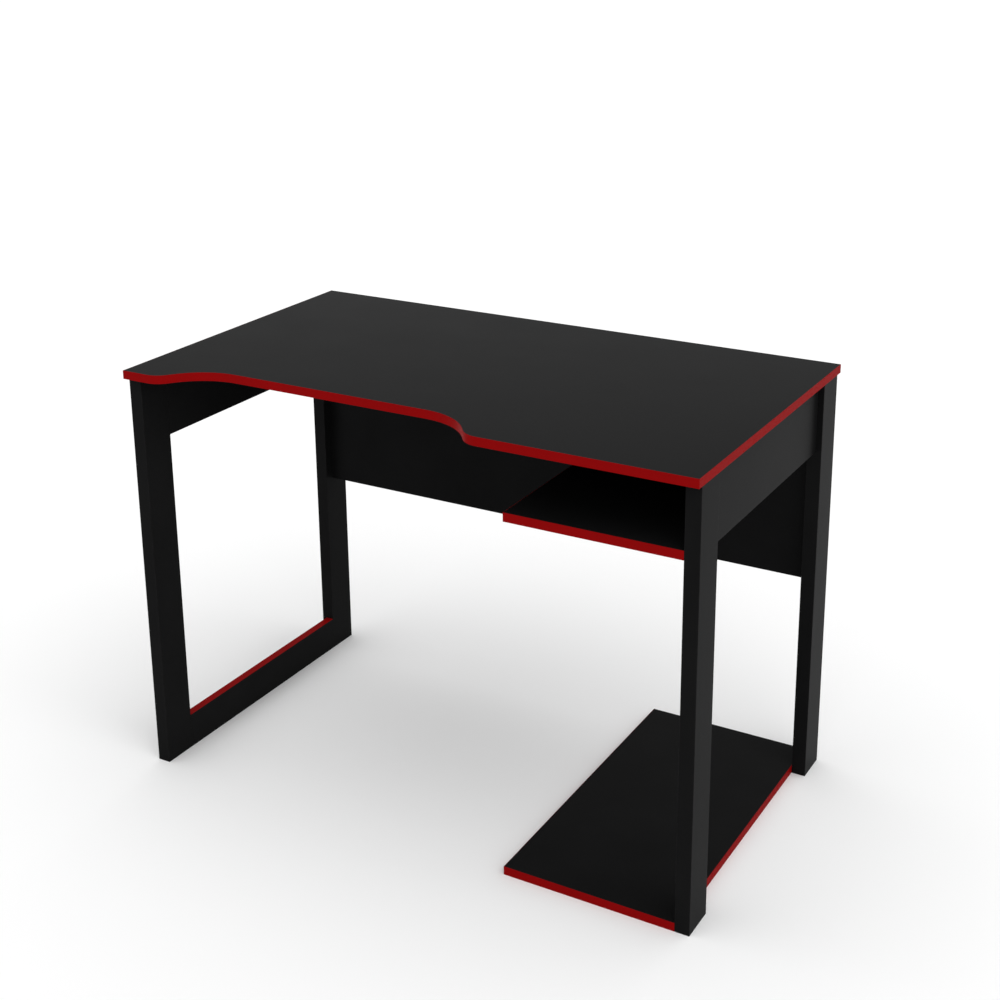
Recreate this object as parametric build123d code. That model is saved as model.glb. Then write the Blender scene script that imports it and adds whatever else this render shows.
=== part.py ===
from build123d import *
import os

os.makedirs("parts", exist_ok=True)

# A black laminated chipboard desk with red edge bands. Millimetres, +Z up, +X along the width,
# the user sits on the -Y side. The origin is on the floor, at the centre of the desktop's outline.

# ------------------------------------------------------------------ overall sizes
desk_width = 1055.0
desk_depth = 605.0
desk_height = 750.0

# ------------------------------------------------------------------ desktop and its front recess
desktop_thickness = 15.0
left_shoulder = 72.0          # straight front edge to the left of the recess
right_shoulder = 380.0        # straight front edge to the right of the recess
recess_depth = 70.0
recess_side_run = 54.0        # how far each sloping side of the recess runs along the width
recess_floor_radius = 120.0
recess_mouth_radius = 40.0

# ------------------------------------------------------------------ edge bands
band_thickness = 0.45
band_edge_radius = 0.2

# ------------------------------------------------------------------ end frames
side_overhang = 1.0           # desktop past the outer faces of the legs
front_overhang = 12.5         # desktop past the front legs
back_overhang = 12.5          # desktop past the back legs
leg_thickness = 25.0
leg_depth = 65.0
leg_edge_radius = 0.8
apron_thickness = 15.0
apron_height = 120.0
rail_thickness = 15.0
rail_height = 65.0
board_edge_radius = 0.5

# ------------------------------------------------------------------ modesty panel, shelf, platform
modesty_thickness = 15.0
modesty_height = 365.0
modesty_setback = 25.0        # behind the front faces of the back legs
shelf_thickness = 15.0
shelf_width = 296.0
shelf_clearance = 103.0       # from the top of the shelf up to the desktop
platform_thickness = 15.0
platform_width = 300.0

# ------------------------------------------------------------------ dowels
dowel_diameter = 8.0
dowel_length = 30.0
dowel_end_chamfer = 1.0
dowel_hole_spare = 1.0        # hole deeper than the dowel at each end
dowel_depth_in_desktop = 10.0
dowel_depth_in_leg = 15.0
dowel_depth_in_panel = 10.0

# ------------------------------------------------------------------ cam fittings
cam_diameter = 15.0
cam_depth = 12.0
cam_setback = 24.0            # from the joint to the axis of the cam
cam_socket_diameter = 4.0
cam_socket_depth = 3.0
bolt_thread_length = 11.0
bolt_diameter = 5.0
bolt_head_diameter = 7.0
bolt_head_length = 4.0
bolt_hole_clearance = 0.5     # around the head of the bolt
cap_diameter = 17.0
cap_thickness = 1.0
cap_edge_chamfer = 0.4
cap_stud_clearance = 0.1

# ------------------------------------------------------------------ where the fittings sit
frame_dowel_spacing = 32.0
apron_dowel_spacing = 64.0
top_fitting_inset = 60.0      # from the end of an apron to its cam bolt
modesty_top_inset = 150.0     # from the end of the modesty panel to its cam bolt in the desktop
modesty_end_inset = 60.0      # from the top or bottom of the modesty panel to a cam bolt
locating_dowel_gap = 32.0     # from a cam bolt to the dowel beside it
shelf_end_inset = 60.0        # from the ends of the shelf to the fittings along its back edge
platform_cam_offset = 8.0     # from the middle of a leg to the platform's cam bolt
platform_dowel_offset = 16.0  # from the middle of a leg to the platform's dowel

# ------------------------------------------------------------------ planes that the pieces share
left_edge = -desk_width / 2
right_edge = desk_width / 2
front_edge = -desk_depth / 2
back_edge = desk_depth / 2
under_top = desk_height - desktop_thickness
left_outer = left_edge + side_overhang
left_inner = left_outer + leg_thickness
right_outer = right_edge - side_overhang
right_inner = right_outer - leg_thickness
frame_front = front_edge + front_overhang
frame_back = back_edge - back_overhang
front_leg_back = frame_front + leg_depth
back_leg_front = frame_back - leg_depth
apron_bottom = under_top - apron_height
modesty_front = back_leg_front + modesty_setback
modesty_middle = modesty_front + modesty_thickness / 2
modesty_bottom = under_top - modesty_height
shelf_left = right_inner - shelf_width
shelf_top = under_top - shelf_clearance
shelf_bottom = shelf_top - shelf_thickness
shelf_middle = shelf_top - shelf_thickness / 2
platform_left = right_inner - platform_width


def block(low, high):
    """A box between its lowest and highest corners."""
    size = [high[i] - low[i] for i in range(3)]
    return Pos(*low) * Box(*size, align=(Align.MIN, Align.MIN, Align.MIN))


def board(low, high, radius=board_edge_radius, axis=Axis.Z):
    """A board whose four edges along one axis are slightly rounded."""
    solid = block(low, high)
    return fillet(solid.edges().filter_by(axis), radius)


def rod(start, direction, radius, length):
    """A cylinder from a start point along a direction."""
    plane = Plane(origin=start, z_dir=direction)
    return plane * Cylinder(radius, length, align=(Align.CENTER, Align.CENTER, Align.MIN))


def along(point, direction, distance):
    """The point at a distance from another along a direction."""
    return tuple(point[i] + direction[i] * distance for i in range(3))


# ------------------------------------------------------------------ fittings
class Fittings:
    """Collects the dowels, cam bolts, cams and caps, and the holes that they need."""

    def __init__(self):
        self.frame_dowels = []
        self.panel_dowels = []
        self.bolts = []
        self.cams = []
        self.caps = []
        self.holes = []

    def dowel(self, group, joint, direction, depth_before):
        """A dowel across a joint; depth_before is how much of it lies before the joint."""
        start = along(joint, direction, -depth_before)
        pin = rod(start, direction, dowel_diameter / 2, dowel_length)
        pin = chamfer(pin.edges().filter_by(GeomType.CIRCLE), dowel_end_chamfer)
        group.append(pin)
        hole_start = along(start, direction, -dowel_hole_spare)
        hole_length = dowel_length + 2 * dowel_hole_spare
        self.holes.append(rod(hole_start, direction, dowel_diameter / 2, hole_length))

    def cam(self, joint, direction, face, thickness, capped=True):
        """A bolt threaded in behind the joint, and the cam that holds it in the board before it.

        direction runs from the joint into the cam's board, and face is the way the cam looks out.
        """
        thread_start = along(joint, direction, -bolt_thread_length)
        reach = bolt_thread_length + cam_setback
        shank = rod(thread_start, direction, bolt_diameter / 2, reach)
        head_start = along(joint, direction, cam_setback - bolt_head_length / 2)
        head = rod(head_start, direction, bolt_head_diameter / 2, bolt_head_length)
        self.bolts.append(shank + head)
        self.holes.append(rod(thread_start, direction, bolt_diameter / 2, bolt_thread_length))
        channel_radius = bolt_head_diameter / 2 + bolt_hole_clearance
        channel = rod(joint, direction, channel_radius, cam_setback + bolt_head_length)
        cam_centre = along(joint, direction, cam_setback)
        cam_face = along(cam_centre, face, thickness / 2)
        inward = tuple(-value for value in face)
        body = rod(cam_face, inward, cam_diameter / 2, cam_depth)
        socket = rod(cam_face, inward, cam_socket_diameter / 2, cam_socket_depth)
        self.cams.append(body - channel - socket)
        self.holes.append(channel)
        self.holes.append(body)
        if capped:
            disc = rod(cam_face, face, cap_diameter / 2, cap_thickness)
            rims = disc.edges().filter_by(GeomType.CIRCLE).sort_by(Axis(cam_face, face))
            disc = chamfer(rims[-1], cap_edge_chamfer)
            stud_radius = cam_socket_diameter / 2 - cap_stud_clearance
            stud = rod(cam_face, inward, stud_radius, cam_socket_depth - cap_stud_clearance)
            self.caps.append(disc + stud)

    def drill(self, solid):
        """The solid with every hole that reaches it."""
        box = solid.bounding_box()
        near = [hole for hole in self.holes if boxes_meet(box, hole.bounding_box())]
        return solid - near if near else solid


def boxes_meet(a, b):
    """Whether two bounding boxes share any space."""
    lows = (max(a.min.X, b.min.X), max(a.min.Y, b.min.Y), max(a.min.Z, b.min.Z))
    highs = (min(a.max.X, b.max.X), min(a.max.Y, b.max.Y), min(a.max.Z, b.max.Z))
    return all(low < high for low, high in zip(lows, highs))


fittings = Fittings()
x_plus, x_minus = (1, 0, 0), (-1, 0, 0)
y_plus, y_minus = (0, 1, 0), (0, -1, 0)
z_plus, z_minus = (0, 0, 1), (0, 0, -1)


# ------------------------------------------------------------------ desktop
def desktop_outline():
    """The outline of the desktop with its bands on, recess included."""
    mouth_left = left_edge + left_shoulder
    mouth_right = right_edge - right_shoulder
    floor = front_edge + recess_depth
    corners = [
        (left_edge, front_edge),
        (mouth_left, front_edge),
        (mouth_left + recess_side_run, floor),
        (mouth_right - recess_side_run, floor),
        (mouth_right, front_edge),
        (right_edge, front_edge),
        (right_edge, back_edge),
        (left_edge, back_edge),
    ]
    face = make_face(Polyline(*corners, close=True))
    mouths = [v for v in face.vertices() if abs(v.Y - front_edge) < 1 and abs(v.X) < right_edge - 1]
    floors = [v for v in face.vertices() if abs(v.Y - floor) < 1]
    face = fillet(floors, recess_floor_radius)
    mouths = [v for v in face.vertices() if any((v.X - m.X) ** 2 + (v.Y - m.Y) ** 2 < 1 for m in mouths)]
    return fillet(mouths, recess_mouth_radius)


outline = desktop_outline()
core_outline = offset(outline, -band_thickness, kind=Kind.INTERSECTION)
slab = Pos(0, 0, under_top) * extrude(outline, desktop_thickness)
desktop_core = Pos(0, 0, under_top) * extrude(core_outline, desktop_thickness)
slab_low = slab.edges().group_by(Axis.Z)[0]
slab_high = slab.edges().group_by(Axis.Z)[-1]
ring = fillet(slab_low + slab_high, band_edge_radius) - desktop_core


def ring_part(low_x, high_x, low_y, high_y):
    """The part of the desktop's band that lies in a rectangle seen from above."""
    return ring & block((low_x, low_y, under_top), (high_x, high_y, desk_height))


def edge_bands_of_desktop():
    """The four bands: the side ones run the whole depth, the others lie between them."""
    inner_left = left_edge + band_thickness
    inner_right = right_edge - band_thickness
    return {
        "desktop_left_edge_band": ring_part(left_edge, inner_left, front_edge, back_edge),
        "desktop_right_edge_band": ring_part(inner_right, right_edge, front_edge, back_edge),
        "desktop_front_edge_band": ring_part(inner_left, inner_right, front_edge, 0),
        "desktop_back_edge_band": ring_part(inner_left, inner_right, 0, back_edge),
    }


# ------------------------------------------------------------------ end frames
def leg(outer_x, inner_x, low_y):
    """One leg, from the floor to the underside of the desktop."""
    low_x, high_x = sorted((outer_x, inner_x))
    return board((low_x, low_y, 0), (high_x, low_y + leg_depth, under_top), leg_edge_radius)


def apron(inner_x, toward_outside):
    """An apron between two legs, flush with their inner faces."""
    low_x, high_x = sorted((inner_x, inner_x + toward_outside * apron_thickness))
    low = (low_x, front_leg_back, apron_bottom)
    return board(low, (high_x, back_leg_front, under_top), axis=Axis.Y)


# The cams of both aprons look toward -X: out of the left frame, and into the right one.
for middle in (left_inner - apron_thickness / 2, right_inner + apron_thickness / 2):
    for level in (-1, 1):
        height = under_top - apron_height / 2 + level * apron_dowel_spacing / 2
        joint = (middle, front_leg_back, height)
        fittings.dowel(fittings.frame_dowels, joint, y_plus, dowel_depth_in_leg)
        joint = (middle, back_leg_front, height)
        fittings.dowel(fittings.frame_dowels, joint, y_minus, dowel_depth_in_leg)
    for place, inward in ((front_leg_back, 1), (back_leg_front, -1)):
        joint = (middle, place + inward * top_fitting_inset, under_top)
        fittings.cam(joint, z_minus, x_minus, apron_thickness)

rail_middle = left_inner - rail_thickness / 2
for level in (-1, 1):
    height = (rail_height - band_thickness) / 2 + level * frame_dowel_spacing / 2
    fittings.dowel(fittings.frame_dowels, (rail_middle, front_leg_back, height), y_plus, dowel_depth_in_leg)
    fittings.dowel(fittings.frame_dowels, (rail_middle, back_leg_front, height), y_minus, dowel_depth_in_leg)

rail_low = (left_inner - rail_thickness, front_leg_back, 0)
rail_high = (left_inner, back_leg_front, rail_height - band_thickness)
rail_band_low = (left_inner - rail_thickness, front_leg_back, rail_height - band_thickness)
rail_band_high = (left_inner, back_leg_front, rail_height)

# ------------------------------------------------------------------ modesty panel
modesty = board(
    (left_inner, modesty_front, modesty_bottom),
    (right_inner, modesty_front + modesty_thickness, under_top),
    axis=Axis.X,
)
for end, inward in ((left_inner, x_plus), (right_inner, x_minus)):
    for height, step in ((under_top - modesty_end_inset, -1), (modesty_bottom + modesty_end_inset, 1)):
        joint = (end, modesty_middle, height)
        fittings.cam(joint, inward, y_plus, modesty_thickness)
        joint = (end, modesty_middle, height + step * locating_dowel_gap)
        fittings.dowel(fittings.panel_dowels, joint, inward, dowel_depth_in_leg)
    top_joint = (end + inward[0] * modesty_top_inset, modesty_middle, under_top)
    fittings.cam(top_joint, z_minus, y_plus, modesty_thickness)
    top_joint = along(top_joint, inward, locating_dowel_gap)
    fittings.dowel(fittings.panel_dowels, top_joint, z_minus, dowel_depth_in_desktop)

# ------------------------------------------------------------------ shelf
shelf = board(
    (shelf_left + band_thickness, frame_front + band_thickness, shelf_bottom),
    (right_inner, modesty_front, shelf_top),
    axis=Axis.Z,
)
shelf_bands = {
    "shelf_front_edge_band": ((shelf_left, frame_front), (right_inner, frame_front + band_thickness)),
    "shelf_left_edge_band": (
        (shelf_left, frame_front + band_thickness),
        (shelf_left + band_thickness, modesty_front),
    ),
}
front_leg_middle = frame_front + leg_depth / 2
back_leg_middle = frame_back - leg_depth / 2
for place in (front_leg_middle, back_leg_front - top_fitting_inset):
    fittings.cam((right_inner, place, shelf_middle), x_minus, z_minus, shelf_thickness)
for place in (shelf_left + shelf_end_inset, right_inner - shelf_end_inset):
    fittings.cam((place, modesty_front, shelf_middle), y_minus, z_minus, shelf_thickness)
shelf_dowel_x = (shelf_left + right_inner) / 2
shelf_dowel_joint = (shelf_dowel_x, modesty_front, shelf_middle)
fittings.dowel(fittings.panel_dowels, shelf_dowel_joint, y_minus, dowel_depth_in_panel)

# ------------------------------------------------------------------ tower platform
platform = block(
    (platform_left + band_thickness, frame_front + band_thickness, 0),
    (right_inner - band_thickness, frame_back, platform_thickness),
)
platform_bands = {
    "platform_left_edge_band": ((platform_left, frame_front), (platform_left + band_thickness, frame_back)),
    "platform_right_edge_band": ((right_inner - band_thickness, frame_front), (right_inner, frame_back)),
    "platform_front_edge_band": (
        (platform_left + band_thickness, frame_front),
        (right_inner - band_thickness, frame_front + band_thickness),
    ),
}
for place, step in ((front_leg_middle, 1), (back_leg_middle, -1)):
    joint = (right_inner, place - step * platform_cam_offset, platform_thickness / 2)
    fittings.cam(joint, x_minus, z_minus, platform_thickness, capped=False)
    joint = (right_inner, place + step * platform_dowel_offset, platform_thickness / 2)
    fittings.dowel(fittings.panel_dowels, joint, x_minus, dowel_depth_in_leg)

# ------------------------------------------------------------------ everything together
parts = {
    "desktop_panel": desktop_core,
    "left_front_leg": leg(left_outer, left_inner, frame_front),
    "left_back_leg": leg(left_outer, left_inner, back_leg_front),
    "left_apron": apron(left_inner, -1),
    "left_bottom_rail": block(rail_low, rail_high),
    "left_rail_edge_band": block(rail_band_low, rail_band_high),
    "right_front_leg": leg(right_outer, right_inner, frame_front),
    "right_back_leg": leg(right_outer, right_inner, back_leg_front),
    "right_apron": apron(right_inner, 1),
    "modesty_panel": modesty,
    "shelf": shelf,
    "tower_platform": platform,
}
parts.update(edge_bands_of_desktop())
for name, (low, high) in shelf_bands.items():
    parts[name] = block((*low, shelf_bottom), (*high, shelf_top))
for name, (low, high) in platform_bands.items():
    parts[name] = block((*low, 0), (*high, platform_thickness))
parts = {name: fittings.drill(solid) for name, solid in parts.items()}
groups = {
    "frame_dowels": fittings.frame_dowels,
    "panel_dowels": fittings.panel_dowels,
    "cam_bolts": fittings.bolts,
    "cam_locks": fittings.cams,
    "cam_cover_caps": fittings.caps,
}
for name, solids in groups.items():
    parts[name] = Compound(children=[Solid(solid.solid().wrapped) for solid in solids])

for name, shape in parts.items():
    export_step(shape, f"parts/{name}.step")
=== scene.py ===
"""A black laminated computer desk with red edge bands: its finishes, fittings and studio."""
import math

import bmesh
import bpy
from mathutils import Matrix, Vector


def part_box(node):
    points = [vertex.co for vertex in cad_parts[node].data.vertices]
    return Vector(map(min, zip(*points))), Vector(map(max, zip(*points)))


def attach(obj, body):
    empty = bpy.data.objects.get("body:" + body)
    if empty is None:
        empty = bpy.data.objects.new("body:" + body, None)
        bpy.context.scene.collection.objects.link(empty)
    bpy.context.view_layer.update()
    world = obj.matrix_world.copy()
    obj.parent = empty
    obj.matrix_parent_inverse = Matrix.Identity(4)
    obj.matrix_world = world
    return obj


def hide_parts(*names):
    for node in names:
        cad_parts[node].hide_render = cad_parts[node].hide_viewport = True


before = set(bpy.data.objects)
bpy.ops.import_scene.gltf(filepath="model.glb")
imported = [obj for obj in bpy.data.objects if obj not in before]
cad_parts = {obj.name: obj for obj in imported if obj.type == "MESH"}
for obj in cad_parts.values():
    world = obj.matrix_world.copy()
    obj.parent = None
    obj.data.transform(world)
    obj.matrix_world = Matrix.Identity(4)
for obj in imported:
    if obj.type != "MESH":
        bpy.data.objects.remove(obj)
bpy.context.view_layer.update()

bl_info = {
    "name": "Computer desk with red edge bands",
    "version": (1, 0, 0),
    "blender": (4, 5, 0),
    "location": "View3D > Sidebar > Desk",
    "description": "Finishes the desk's boards, bands and fittings, and sets up its studio",
    "category": "Object",
}

MM = 0.001
BODY = "root"
MERGE_DISTANCE = 0.01 * MM
SHARP_ANGLE = math.radians(35)
ARRIS_WIDTH = 1.6 * MM
TURNING_STEPS, CAP_STEPS = 32, 48
FLOOR_HALF_WIDTH = 60.0
OVERHEAD_FROM, OVERHEAD_SPREAD = (0.1, -0.2, 1.0), 80
SIDE_FROM, SIDE_SPREAD = (1.0, -0.45, 0.9), 60
BOARDS = {
    "legs": ("left_front_leg", "left_back_leg", "right_front_leg", "right_back_leg"),
    "rails": ("left_apron", "right_apron", "left_bottom_rail"),
    "panels": ("modesty_panel", "shelf", "tower_platform"),
}
BANDS = {
    "desktop_left_edge_band": "Y",
    "desktop_right_edge_band": "Y",
    "desktop_front_edge_band": "X",
    "left_rail_edge_band": "Y",
    "shelf_front_edge_band": "X",
    "shelf_left_edge_band": "Y",
    "platform_left_edge_band": "Y",
    "platform_right_edge_band": "Y",
    "platform_front_edge_band": "X",
}
BLACK_BAND = "desktop_back_edge_band"


# ------------------------------------------------------------------ materials as sums
class Reading:
    """A shader socket that works in Python sums."""

    def __init__(self, finish, socket):
        self.finish = finish
        self.socket = socket

    def math(self, operation, *values):
        return self.finish.node("ShaderNodeMath", {"operation": operation}, dict(enumerate(values)))

    def __add__(self, other):
        return self.math("ADD", self, other)

    def __sub__(self, other):
        return self.math("SUBTRACT", self, other)

    def __rsub__(self, other):
        return self.math("SUBTRACT", other, self)

    def __mul__(self, other):
        return self.math("MULTIPLY", self, other)

    def __abs__(self):
        return self.math("ABSOLUTE", self)

    __radd__ = __add__
    __rmul__ = __mul__

    def smallest(self, other):
        return self.math("MINIMUM", self, other)

    def largest(self, other):
        return self.math("MAXIMUM", self, other)

    def between(self, low, high):
        """0 below low, 1 above high and a smooth step between them."""
        settings = {"interpolation_type": "SMOOTHSTEP"}
        values = {"Value": self, "From Min": low, "From Max": high}
        return self.finish.node("ShaderNodeMapRange", settings, values)


class Finish:
    """A material while it is being made: its nodes, and the patterns that they read."""

    def __init__(self, name):
        self.material = bpy.data.materials.new(name)
        self.material.use_nodes = True
        self.tree = self.material.node_tree
        self.tree.nodes.clear()
        self.place = self.node("ShaderNodeTexCoord", output="Object")

    def node(self, kind, settings=None, values=None, output=0):
        made = self.tree.nodes.new(kind)
        for name, setting in (settings or {}).items():
            setattr(made, name, setting)
        for key, value in (values or {}).items():
            if isinstance(value, Reading):
                self.tree.links.new(value.socket, made.inputs[key])
            else:
                made.inputs[key].default_value = value
        if isinstance(output, tuple):
            return tuple(Reading(self, made.outputs[key]) for key in output)
        return Reading(self, made.outputs[output])

    def axes(self):
        values = {"Vector": self.place}
        return self.node("ShaderNodeSeparateXYZ", values=values, output=("X", "Y", "Z"))

    def noise(self, scale, detail=2.0, roughness=0.5, stretch=(1.0, 1.0, 1.0)):
        place = self.node("ShaderNodeMapping", values={"Vector": self.place, "Scale": stretch})
        values = {"Vector": place, "Scale": scale, "Detail": detail, "Roughness": roughness}
        return self.node("ShaderNodeTexNoise", values=values)

    def cells(self, scale, stretch=(1.0, 1.0, 1.0)):
        place = self.node("ShaderNodeMapping", values={"Vector": self.place, "Scale": stretch})
        return self.node("ShaderNodeTexVoronoi", values={"Vector": place, "Scale": scale})

    def blend(self, amount, first, second):
        settings = {"data_type": "RGBA", "clamp_factor": True}
        return self.node("ShaderNodeMix", settings, {0: amount, 6: first, 7: second}, output=2)

    def relief(self, height, depth, strength=1.0):
        values = {"Height": height, "Distance": depth, "Strength": strength}
        return self.node("ShaderNodeBump", values=values)

    def surface(self, **values):
        sockets = {name.replace("_", " "): value for name, value in values.items()}
        shader = self.node("ShaderNodeBsdfPrincipled", values=sockets)
        output = self.tree.nodes.new("ShaderNodeOutputMaterial")
        self.tree.links.new(shader.socket, output.inputs["Surface"])
        return self.material


def shade(colour, factor):
    """A colour made lighter or darker."""
    return tuple(channel * factor for channel in colour[:3]) + (1.0,)


def board_edge(finish, low, high, softness):
    """1 on the arrises of a box-shaped board, fading to 0 over a short distance from them."""
    gaps = [
        (high[i] - low[i]) / 2 - abs(axis - (high[i] + low[i]) / 2)
        for i, axis in enumerate(finish.axes())
    ]
    lower, upper = gaps[0].smallest(gaps[1]), gaps[0].largest(gaps[1])
    middle = lower.largest(upper.smallest(gaps[2]))
    return 1 - middle.between(0.0, softness)


def black_laminate(name, low, high, look):
    """Satin black melamine paper on board, with a fine emboss and arrises lightened in patches by a
    painted edge highlight and wear.
    """
    finish = Finish(name)
    pores = finish.noise(look.emboss_scale, 3.0, 0.6)
    peel = finish.noise(look.emboss_scale * 0.22, 2.0)
    cloud = finish.noise(9.0, 3.0, 0.55)
    rub_and_highlight_patches = finish.noise(60.0, 4.0, 0.65)
    # Painted highlight and wear: a mask for the arrises, broken into patches. The drop in roughness
    # there is real; the lighter colour is painted light caught on the edges.
    arris_highlight_and_wear_mask = board_edge(finish, low, high, ARRIS_WIDTH) * rub_and_highlight_patches.between(0.35, 0.7)
    pale = shade(look.board_colour, 1.8)
    mottled = finish.blend(cloud * 0.6 + pores * 0.4, shade(look.board_colour, 0.7), pale)
    # Painted highlight: the arrises are given a lighter colour, standing in for light caught on the
    # rounded edges as well as wear.
    colour = finish.blend(arris_highlight_and_wear_mask * look.edge_highlight_and_wear, mottled, shade(look.board_colour, 4.0))
    rough = look.board_roughness + (cloud - 0.5) * 0.10 + (pores - 0.5) * 0.12 - arris_highlight_and_wear_mask * 0.08
    bump = finish.relief(pores * 0.7 + peel * 0.5, look.emboss_depth)
    return finish.surface(
        Base_Color=colour, Roughness=rough, Normal=bump, Specular_IOR_Level=look.board_sheen
    )


def red_edge_band(name, along, look):
    """Extruded red plastic band, clouded a little, with faint lines along its length."""
    finish = Finish(name)
    stretch = {"X": (0.03, 1.0, 1.0), "Y": (1.0, 0.03, 1.0)}[along]
    lines = finish.noise(2600.0, 2.0, 0.5, stretch)
    skin = finish.noise(700.0, 2.0)
    cloud = finish.noise(14.0, 2.0)
    deep, bright = shade(look.band_colour, 0.88), shade(look.band_colour, 1.1)
    colour = finish.blend(cloud * 0.7 + lines * 0.3, deep, bright)
    rough = look.band_roughness + (cloud - 0.5) * 0.08 + (lines - 0.5) * 0.1
    bump = finish.relief(lines * 0.6 + skin * 0.4, 0.03 * MM)
    return finish.surface(
        Base_Color=colour, Roughness=rough, Normal=bump, Specular_IOR_Level=look.band_sheen
    )


def beech_wood(along):
    """Beech for dowels: long grain with the short dark flecks of its rays, along one axis."""
    finish = Finish("beech_along_" + "XYZ"[along])
    late_wood, early_wood = (0.42, 0.25, 0.13, 1.0), (0.66, 0.45, 0.27, 1.0)
    ray = (0.26, 0.13, 0.06, 1.0)
    long, short = ([stretch if i == along else 1.0 for i in range(3)] for stretch in (0.12, 0.3))
    grain = finish.noise(1400.0, 4.0, 0.6, long)
    flecks = 1 - finish.cells(1800.0, short).between(0.0, 0.35)
    colour = finish.blend(grain, late_wood, early_wood)
    colour = finish.blend(flecks * 0.5, colour, ray)
    bump = finish.relief(grain, 0.04 * MM)
    return finish.surface(Base_Color=colour, Roughness=0.62 + (grain - 0.5) * 0.15, Normal=bump)


def plated_steel():
    """Bright zinc-plated steel with a slightly cloudy plating."""
    finish = Finish("plated_steel")
    cloud = finish.noise(320.0, 3.0)
    colour = finish.blend(cloud, (0.52, 0.53, 0.55, 1.0), (0.72, 0.73, 0.76, 1.0))
    bump = finish.relief(finish.noise(2400.0, 2.0), 0.01 * MM)
    return finish.surface(
        Base_Color=colour, Metallic=1.0, Roughness=0.28 + (cloud - 0.5) * 0.16, Normal=bump
    )


def cast_zinc():
    """Die-cast zinc: dull grey, with a fine cast skin."""
    finish = Finish("cast_zinc")
    skin = finish.noise(1500.0, 4.0, 0.65)
    cloud = finish.noise(180.0, 3.0)
    dull, bright = (0.30, 0.30, 0.31, 1.0), (0.50, 0.50, 0.52, 1.0)
    colour = finish.blend(cloud * 0.6 + skin * 0.4, dull, bright)
    bump = finish.relief(skin, 0.04 * MM)
    return finish.surface(
        Base_Color=colour, Metallic=1.0, Roughness=0.46 + (skin - 0.5) * 0.2, Normal=bump
    )


def moulded_plastic(look):
    """Black moulded plastic with a fine spark-eroded texture."""
    finish = Finish("cap_plastic")
    grain = finish.noise(3200.0, 3.0, 0.6)
    cloud = finish.noise(120.0, 2.0)
    colour = finish.blend(cloud, shade(look.cap_colour, 0.8), shade(look.cap_colour, 1.3))
    bump = finish.relief(grain, 0.03 * MM)
    rough = 0.48 + (grain - 0.5) * 0.2
    return finish.surface(
        Base_Color=colour, Roughness=rough, Normal=bump, Specular_IOR_Level=look.cap_sheen
    )


def dress(node, material):
    """Gives a carried-over piece its finish."""
    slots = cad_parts[node].material_slots
    if not slots:
        raise RuntimeError(node + " has no material slot")
    for held in slots:
        held.material = material


# ------------------------------------------------------------------ modelling
class Fitting:
    """One dowel, bolt or cap of a CAD node: its middle, its axis and the end that it widens to."""

    def __init__(self, corners, flat):
        low = Vector([min(corner[i] for corner in corners) for i in range(3)])
        high = Vector([max(corner[i] for corner in corners) for i in range(3)])
        size = list(high - low)
        self.axis = size.index(min(size) if flat else max(size))
        self.length = size[self.axis]
        self.middle = (low + high) / 2
        reach = [self.radius(corner) for corner in corners]
        widest = [corner for corner, far in zip(corners, reach) if far > 0.9 * max(reach)]
        lean = sum(corner[self.axis] for corner in widest) / len(widest) - self.middle[self.axis]
        self.direction = Vector([0.0, 0.0, 0.0])
        self.direction[self.axis] = 1.0 if lean >= 0 else -1.0

    def radius(self, corner):
        away = corner - self.middle
        away[self.axis] = 0.0
        return away.length

    def settle(self, bm, verts, middle):
        """Moves a fitting that was made upright, with its middle at that height, to its place."""
        turn = self.direction.to_track_quat("Z", "Y").to_matrix().to_4x4()
        shift = Matrix.Translation(self.middle) @ turn @ Matrix.Translation((0, 0, -middle))
        bmesh.ops.transform(bm, matrix=shift, verts=verts)


def fittings_of(node, flat=False):
    """Every separate fitting of a CAD node, found from a merged copy of its mesh."""
    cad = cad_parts[node]
    bm = bmesh.new()
    bm.from_mesh(cad.data)
    bmesh.ops.remove_doubles(bm, verts=bm.verts, dist=MERGE_DISTANCE)
    found = []
    for vert in bm.verts:
        if vert.tag:
            continue
        vert.tag = True
        waiting, corners = [vert], []
        while waiting:
            here = waiting.pop()
            corners.append(cad.matrix_world @ here.co)
            for other in (edge.other_vert(here) for edge in here.link_edges):
                if not other.tag:
                    other.tag = True
                    waiting.append(other)
        found.append(Fitting(corners, flat))
    bm.free()
    return found


def add_piece(name, make, node, materials, flat=False):
    """A piece that stands for a CAD node, with a detailed fitting in place of each plain one."""
    bm = bmesh.new()
    for fitting in fittings_of(node, flat):
        verts_before, faces_before = len(bm.verts), len(bm.faces)
        middle = make(bm, fitting)
        fitting.settle(bm, list(bm.verts)[verts_before:], middle)
        for face in list(bm.faces)[faces_before:]:
            face.material_index = fitting.axis if len(materials) > 1 else 0
    bmesh.ops.remove_doubles(bm, verts=bm.verts, dist=MERGE_DISTANCE)
    bmesh.ops.recalc_face_normals(bm, faces=bm.faces)
    mesh = bpy.data.meshes.new(name)
    bm.to_mesh(mesh)
    bm.free()
    for material in materials:
        mesh.materials.append(material)
    mesh.shade_smooth()
    mesh.set_sharp_from_angle(angle=SHARP_ANGLE)
    piece = bpy.data.objects.new(name, mesh)
    bpy.context.scene.collection.objects.link(piece)
    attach(piece, BODY)
    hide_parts(node)


def turned(bm, outline, steps=TURNING_STEPS):
    """Spins an outline of (radius, height) points round the upright axis."""
    verts = [bm.verts.new((radius, 0.0, height)) for radius, height in outline]
    edges = [bm.edges.new(pair) for pair in zip(verts, verts[1:])]
    bmesh.ops.spin(
        bm, geom=verts + edges, cent=(0, 0, 0), axis=(0, 0, 1), dvec=(0, 0, 0),
        angle=math.tau, steps=steps, use_merge=True, use_duplicate=False,
    )


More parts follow.
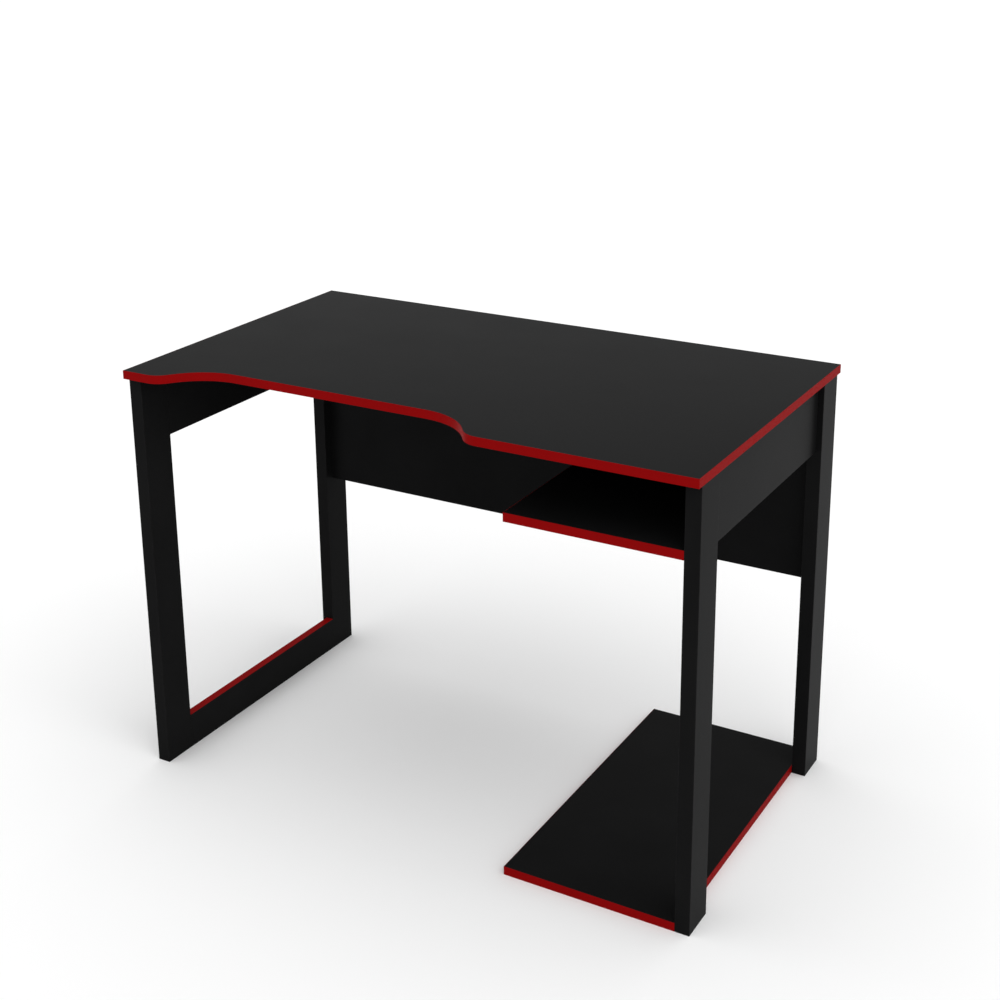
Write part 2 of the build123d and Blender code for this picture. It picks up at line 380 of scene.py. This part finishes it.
def domed_cap(bm, fitting):
    """A cap with a rolled rim, a domed face with a centre dimple, and the stud that holds it."""
    sizes = bpy.context.scene.desk_fittings
    radius, height = sizes.cap_diameter / 2, sizes.cap_height
    stud = fitting.length - height
    outline = [
        (0.0, -stud), (1.55 * MM, -stud), (1.88 * MM, -stud + 0.4 * MM), (1.88 * MM, 0.0),
        (radius - 0.15 * MM, 0.0), (radius, 0.12 * MM), (radius, height * 0.45),
        (radius - 0.12 * MM, height * 0.66), (radius - 0.42 * MM, height * 0.82),
        (radius * 0.80, height * 0.93), (radius * 0.55, height * 0.99), (radius * 0.34, height),
        (radius * 0.28, height * 0.94), (radius * 0.22, height * 0.74),
        (radius * 0.10, height * 0.62), (0.0, height * 0.60),
    ]
    turned(bm, outline, CAP_STEPS)
    return (height - stud) / 2


def grooved_dowel(bm, fitting):
    """A dowel with chamfered ends and glue grooves along its whole length."""
    sizes = bpy.context.scene.desk_fittings
    radius, chamfer, narrow = sizes.dowel_diameter / 2, 1.0 * MM, 0.76
    groove = 1 - sizes.groove_depth / radius
    rim = bmesh.ops.create_circle(bm, cap_ends=True, segments=36, radius=radius * narrow)["verts"]
    bmesh.ops.scale(bm, vec=(groove, groove, 1.0), verts=rim[::3])
    face = rim[0].link_faces[0]
    rises = ((chamfer, 1 / narrow), (fitting.length - 2 * chamfer, 1.0), (chamfer, narrow))
    for step, (rise, spread) in enumerate(rises):
        grown = bmesh.ops.extrude_face_region(bm, geom=[face])["geom"]
        if step > 0:
            bmesh.ops.delete(bm, geom=[face], context="FACES_ONLY")
        face = next(part for part in grown if isinstance(part, bmesh.types.BMFace))
        bmesh.ops.translate(bm, vec=(0.0, 0.0, rise), verts=face.verts)
        bmesh.ops.scale(bm, vec=(spread, spread, 1.0), verts=face.verts)
    return fitting.length / 2


def threaded_bolt(bm, fitting):
    """A cam bolt: a coarse thread, a plain shank, a slim neck and a round head with a recess."""
    sizes = bpy.context.scene.desk_fittings
    shank, head = sizes.bolt_diameter / 2, sizes.bolt_head_diameter / 2
    core, neck = 1.75 * MM, shank - 0.9 * MM
    top, thread = fitting.length, sizes.thread_length
    outline = [
        (0.0, 0.0), (core * 0.6, 0.0), (core, 0.9 * MM), (core, thread - 0.4 * MM),
        (shank - 0.2 * MM, thread), (shank, thread + 0.3 * MM), (shank, top - 8.6 * MM),
        (neck, top - 7.4 * MM), (neck, top - 4.0 * MM), (head - 0.7 * MM, top - 3.9 * MM),
        (head, top - 3.1 * MM), (head, top - 1.0 * MM), (head - 0.3 * MM, top - 0.35 * MM),
        (head - 1.0 * MM, top), (1.5 * MM, top), (1.1 * MM, top - 0.9 * MM),
        (0.0, top - 1.3 * MM),
    ]
    turned(bm, outline)
    cut_thread(bm, core, shank, thread)
    return fitting.length / 2


def cut_thread(bm, core, crest, reach):
    """A closed ridge that winds up a core, as far as a thread of this reach goes."""
    pitch, flank, start, steps_round = 1.7 * MM, 0.5 * MM, 0.8 * MM, 16
    root = core - 0.1 * MM
    profile = ((root, start), (crest, start + flank), (root, start + 2 * flank))
    verts = [bm.verts.new((radius, 0.0, height)) for radius, height in profile]
    edges = [bm.edges.new((verts[i], verts[i - 1])) for i in range(len(verts))]
    known = set(bm.faces)
    turns = (reach - 2 * start - flank) / pitch
    bmesh.ops.spin(
        bm, geom=verts + edges, cent=(0, 0, 0), axis=(0, 0, 1), dvec=(0, 0, pitch / steps_round),
        angle=turns * math.tau, steps=round(turns * steps_round), use_merge=False,
        use_duplicate=False,
    )
    rims = [
        edge
        for face in bm.faces if face not in known
        for edge in face.edges if edge.is_boundary
    ]
    bmesh.ops.holes_fill(bm, edges=rims, sides=len(profile))


# ------------------------------------------------------------------ what a user would change
class DeskLook(bpy.types.PropertyGroup):
    """Colours and surface of the boards, bands and caps."""

    board_colour: bpy.props.FloatVectorProperty(
        name="Board colour", description="Colour of the black laminate", subtype="COLOR",
        size=4, min=0.0, max=1.0, default=(0.0056, 0.0056, 0.0057, 1.0),
    )
    board_roughness: bpy.props.FloatProperty(
        name="Board roughness", description="How dull the laminate is", subtype="FACTOR",
        min=0.0, max=1.0, default=0.34,
    )
    board_sheen: bpy.props.FloatProperty(
        name="Board sheen", description="Strength of the laminate's reflection", subtype="FACTOR",
        min=0.0, max=1.0, default=0.012,
    )
    emboss_scale: bpy.props.FloatProperty(
        name="Emboss scale", description="Pores of the emboss in each metre", min=100.0,
        max=5000.0, default=1300.0,
    )
    emboss_depth: bpy.props.FloatProperty(
        name="Emboss depth", description="Depth of the pressed emboss", subtype="DISTANCE",
        unit="LENGTH", min=0.0, max=0.001, precision=6, default=0.02 * MM,
    )
    # Painted highlight and wear: how far the arrises are lightened, standing in for light caught on
    # the rounded edges as well as handling wear.
    edge_highlight_and_wear: bpy.props.FloatProperty(
        name="Edge wear", description="How far handling has lightened the arrises",
        subtype="FACTOR", min=0.0, max=1.0, default=0.35,
    )
    band_colour: bpy.props.FloatVectorProperty(
        name="Band colour", description="Colour of the red edge bands", subtype="COLOR",
        size=4, min=0.0, max=1.0, default=(0.225, 0.0022, 0.0026, 1.0),
    )
    band_roughness: bpy.props.FloatProperty(
        name="Band roughness", description="How dull the red bands are", subtype="FACTOR",
        min=0.0, max=1.0, default=0.42,
    )
    band_sheen: bpy.props.FloatProperty(
        name="Band sheen", description="Strength of the bands' reflection", subtype="FACTOR",
        min=0.0, max=1.0, default=0.01,
    )
    cap_colour: bpy.props.FloatVectorProperty(
        name="Cap colour", description="Colour of the plastic caps over the cams",
        subtype="COLOR", size=4, min=0.0, max=1.0, default=(0.0055, 0.0055, 0.0058, 1.0),
    )
    cap_sheen: bpy.props.FloatProperty(
        name="Cap sheen", description="Strength of the caps' reflection", subtype="FACTOR",
        min=0.0, max=1.0, default=0.12,
    )


def length(name, description, default):
    """A size in metres that a user may change."""
    return bpy.props.FloatProperty(
        name=name, description=description, subtype="DISTANCE", unit="LENGTH",
        min=0.0001, max=0.1, precision=5, default=default,
    )


class DeskFittings(bpy.types.PropertyGroup):
    """Sizes of the caps, dowels and bolts."""

    cap_diameter: length("Cap diameter", "Diameter of a cam cap", 17.0 * MM)
    cap_height: length("Cap height", "How far a cap stands off its board", 1.0 * MM)
    dowel_diameter: length("Dowel diameter", "Diameter of a dowel", 8.0 * MM)
    groove_depth: length("Groove depth", "Depth of a dowel's glue grooves", 0.28 * MM)
    bolt_diameter: length("Bolt diameter", "Diameter of a cam bolt's shank and thread", 5.0 * MM)
    bolt_head_diameter: length("Bolt head", "Diameter of a cam bolt's head", 7.0 * MM)
    thread_length: length("Thread length", "Length of a cam bolt's thread", 11.0 * MM)


class DeskStudio(bpy.types.PropertyGroup):
    """Camera, floor and lights."""

    camera_azimuth: bpy.props.FloatProperty(
        name="Camera azimuth", description="How far round to the right the camera stands",
        subtype="ANGLE", unit="ROTATION", default=math.radians(30.01),
    )
    camera_elevation: bpy.props.FloatProperty(
        name="Camera elevation", description="How far the camera looks down",
        subtype="ANGLE", unit="ROTATION", default=math.radians(16.80),
    )
    camera_roll: bpy.props.FloatProperty(
        name="Camera roll", description="Turn of the camera about its view",
        subtype="ANGLE", unit="ROTATION", default=math.radians(-0.547),
    )
    camera_place: bpy.props.FloatVectorProperty(
        name="Camera place", description="Where the camera stands", subtype="TRANSLATION",
        unit="LENGTH", size=3, default=(1.3310, -2.2417, 1.5674),
    )
    lens: bpy.props.FloatProperty(
        name="Lens", description="Focal length in millimetres", min=10.0, max=300.0, default=58.09,
    )
    shift_up: bpy.props.FloatProperty(
        name="Shift", description="Vertical shift of the lens", min=-1.0, max=1.0, default=-0.15,
    )
    floor_colour: bpy.props.FloatVectorProperty(
        name="Floor colour", description="Colour of the studio floor", subtype="COLOR",
        size=4, min=0.0, max=1.0, default=(0.95, 0.95, 0.95, 1.0),
    )
    backdrop: bpy.props.FloatProperty(
        name="Backdrop", description="Brightness of the studio behind the desk", min=0.0,
        max=5.0, default=0.95,
    )
    surroundings: bpy.props.FloatProperty(
        name="Surroundings", description="Brightness of the studio that lights the desk",
        min=0.0, max=5.0, default=0.80,
    )
    overhead: bpy.props.FloatProperty(
        name="Overhead light", description="Strength of the broad light overhead", min=0.0,
        max=20.0, default=0.68,
    )
    side: bpy.props.FloatProperty(
        name="Side light", description="Strength of the broad light from the right and front",
        min=0.0, max=20.0, default=0.6,
    )


# ------------------------------------------------------------------ operators
class DESK_OT_desktop(bpy.types.Operator):
    """Finish the desktop in black laminate"""

    bl_idname = "desk.desktop"
    bl_label = "Desktop"

    def execute(self, context):
        low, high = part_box("desktop_panel")
        look = context.scene.desk_look
        dress("desktop_panel", black_laminate("desktop_laminate", low, high, look))
        return {"FINISHED"}


class BoardGroup:
    """Finishes one group of like boards, each with a laminate that knows its own arrises."""

    group = ""

    def execute(self, context):
        for node in BOARDS[self.group]:
            low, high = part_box(node)
            dress(node, black_laminate(node + "_laminate", low, high, context.scene.desk_look))
        return {"FINISHED"}


class DESK_OT_legs(BoardGroup, bpy.types.Operator):
    """Finish the four legs in black laminate"""

    bl_idname = "desk.legs"
    bl_label = "Legs"
    group = "legs"


class DESK_OT_rails(BoardGroup, bpy.types.Operator):
    """Finish the aprons and the bottom rail in black laminate"""

    bl_idname = "desk.rails"
    bl_label = "Aprons and rail"
    group = "rails"


class DESK_OT_panels(BoardGroup, bpy.types.Operator):
    """Finish the modesty panel, the shelf and the platform in black laminate"""

    bl_idname = "desk.panels"
    bl_label = "Panels"
    group = "panels"


class DESK_OT_edge_bands(bpy.types.Operator):
    """Finish the red edge bands, with their grain along each band, and the black one at the back"""

    bl_idname = "desk.edge_bands"
    bl_label = "Edge bands"

    def execute(self, context):
        look = context.scene.desk_look
        finishes = {way: red_edge_band("red_band_" + way, way, look) for way in ("X", "Y")}
        for node, way in BANDS.items():
            dress(node, finishes[way])
        low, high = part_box(BLACK_BAND)
        dress(BLACK_BAND, black_laminate("black_edge_band", low, high, look))
        return {"FINISHED"}


class DESK_OT_caps(bpy.types.Operator):
    """Model the domed caps that cover the cams"""

    bl_idname = "desk.caps"
    bl_label = "Cam caps"

    def execute(self, context):
        plastic = [moulded_plastic(context.scene.desk_look)]
        add_piece("domed_caps", domed_cap, "cam_cover_caps", plastic, flat=True)
        return {"FINISHED"}


class DESK_OT_dowels(bpy.types.Operator):
    """Model the grooved beech dowels"""

    bl_idname = "desk.dowels"
    bl_label = "Dowels"

    def execute(self, context):
        beech = [beech_wood(axis) for axis in range(3)]
        add_piece("grooved_frame_dowels", grooved_dowel, "frame_dowels", beech)
        add_piece("grooved_panel_dowels", grooved_dowel, "panel_dowels", beech)
        return {"FINISHED"}


class DESK_OT_cams(bpy.types.Operator):
    """Model the threaded bolts, and finish the cams that hold them"""

    bl_idname = "desk.cams"
    bl_label = "Cams and bolts"

    def execute(self, context):
        add_piece("threaded_bolts", threaded_bolt, "cam_bolts", [plated_steel()])
        dress("cam_locks", cast_zinc())
        return {"FINISHED"}


class DESK_OT_studio(bpy.types.Operator):
    """Make the floor, the lights and the camera"""

    bl_idname = "desk.studio"
    bl_label = "Studio"

    def execute(self, context):
        studio = context.scene.desk_studio
        make_floor(studio)
        make_surroundings(studio)
        soft_light("overhead", studio.overhead, OVERHEAD_FROM, OVERHEAD_SPREAD)
        soft_light("right_side", studio.side, SIDE_FROM, SIDE_SPREAD)
        make_camera(studio)
        return {"FINISHED"}


def make_floor(studio):
    """A pale plain floor, far wider than the view."""
    finish = Finish("studio_floor")
    cloud = finish.noise(0.6, 2.0)
    colour = finish.blend(cloud, shade(studio.floor_colour, 0.995), studio.floor_colour)
    material = finish.surface(Base_Color=colour, Roughness=0.9, Specular_IOR_Level=0.0)
    bm = bmesh.new()
    bmesh.ops.create_grid(bm, x_segments=8, y_segments=8, size=FLOOR_HALF_WIDTH)
    mesh = bpy.data.meshes.new("studio_floor")
    bm.to_mesh(mesh)
    bm.free()
    mesh.materials.append(material)
    floor = bpy.data.objects.new("studio_floor", mesh)
    bpy.context.scene.collection.objects.link(floor)


def make_surroundings(studio):
    """An even studio: pale where it is seen, and dimmer where it lights the desk."""
    world = bpy.data.worlds.new("studio")
    world.use_nodes = True
    nodes, links = world.node_tree.nodes, world.node_tree.links
    seen = nodes.new("ShaderNodeLightPath")
    strength = nodes.new("ShaderNodeMix")
    strength.inputs["A"].default_value = studio.surroundings
    strength.inputs["B"].default_value = studio.backdrop
    links.new(seen.outputs["Is Camera Ray"], strength.inputs["Factor"])
    background = nodes["Background"]
    background.inputs["Color"].default_value = (1.0, 1.0, 1.0, 1.0)
    links.new(strength.outputs["Result"], background.inputs["Strength"])
    bpy.context.scene.world = world
    bpy.context.scene.view_settings.view_transform = "Standard"


def soft_light(name, strength, toward, spread):
    """A broad even light that comes from one direction, spread over so many degrees."""
    data = bpy.data.lights.new(name, "SUN")
    data.energy = strength
    data.angle = math.radians(spread)
    lamp = bpy.data.objects.new(name, data)
    lamp.rotation_mode = "QUATERNION"
    lamp.rotation_quaternion = (-Vector(toward)).to_track_quat("-Z", "Y")
    bpy.context.scene.collection.objects.link(lamp)


def make_camera(studio):
    """A camera that looks down at the desk from its right front corner."""
    data = bpy.data.cameras.new("camera")
    data.sensor_width = 36.0
    data.lens = studio.lens
    data.shift_y = studio.shift_up
    data.clip_end = 200.0
    turn, drop, roll = studio.camera_azimuth, studio.camera_elevation, studio.camera_roll
    ahead = Vector(
        (-math.sin(turn) * math.cos(drop), math.cos(turn) * math.cos(drop), -math.sin(drop))
    )
    right = Vector((math.cos(turn), math.sin(turn), 0.0))
    up = right.cross(ahead)
    rolled_right = math.cos(roll) * right + math.sin(roll) * up
    rolled_up = math.cos(roll) * up - math.sin(roll) * right
    matrix = Matrix((rolled_right, rolled_up, -ahead)).transposed().to_4x4()
    matrix.translation = studio.camera_place
    camera = bpy.data.objects.new("camera", data)
    camera.matrix_world = matrix
    bpy.context.scene.collection.objects.link(camera)
    bpy.context.scene.camera = camera


class DESK_PT_sidebar(bpy.types.Panel):
    """The desk's pieces and studio"""

    bl_idname = "DESK_PT_sidebar"
    bl_label = "Desk"
    bl_space_type = "VIEW_3D"
    bl_region_type = "UI"
    bl_category = "Desk"

    def draw(self, context):
        for operator in MAKERS:
            self.layout.operator(operator.bl_idname)
        for attribute, group in GROUPS.items():
            for name in group.__annotations__:
                self.layout.prop(getattr(context.scene, attribute), name)


MAKERS = (
    DESK_OT_desktop,
    DESK_OT_legs,
    DESK_OT_rails,
    DESK_OT_panels,
    DESK_OT_edge_bands,
    DESK_OT_caps,
    DESK_OT_dowels,
    DESK_OT_cams,
    DESK_OT_studio,
)
GROUPS = {"desk_look": DeskLook, "desk_fittings": DeskFittings, "desk_studio": DeskStudio}


def register():
    for group in (*GROUPS.values(), *MAKERS, DESK_PT_sidebar):
        bpy.utils.register_class(group)
    for name, group in GROUPS.items():
        setattr(bpy.types.Scene, name, bpy.props.PointerProperty(type=group))


def unregister():
    for name in GROUPS:
        delattr(bpy.types.Scene, name)
    for group in (DESK_PT_sidebar, *reversed(MAKERS), *GROUPS.values()):
        bpy.utils.unregister_class(group)


def main():
    register()
    bpy.ops.desk.studio()
    bpy.ops.desk.desktop()
    bpy.ops.desk.legs()
    bpy.ops.desk.rails()
    bpy.ops.desk.panels()
    bpy.ops.desk.edge_bands()
    bpy.ops.desk.caps()
    bpy.ops.desk.dowels()
    bpy.ops.desk.cams()


if __name__ == "__main__":
    main()
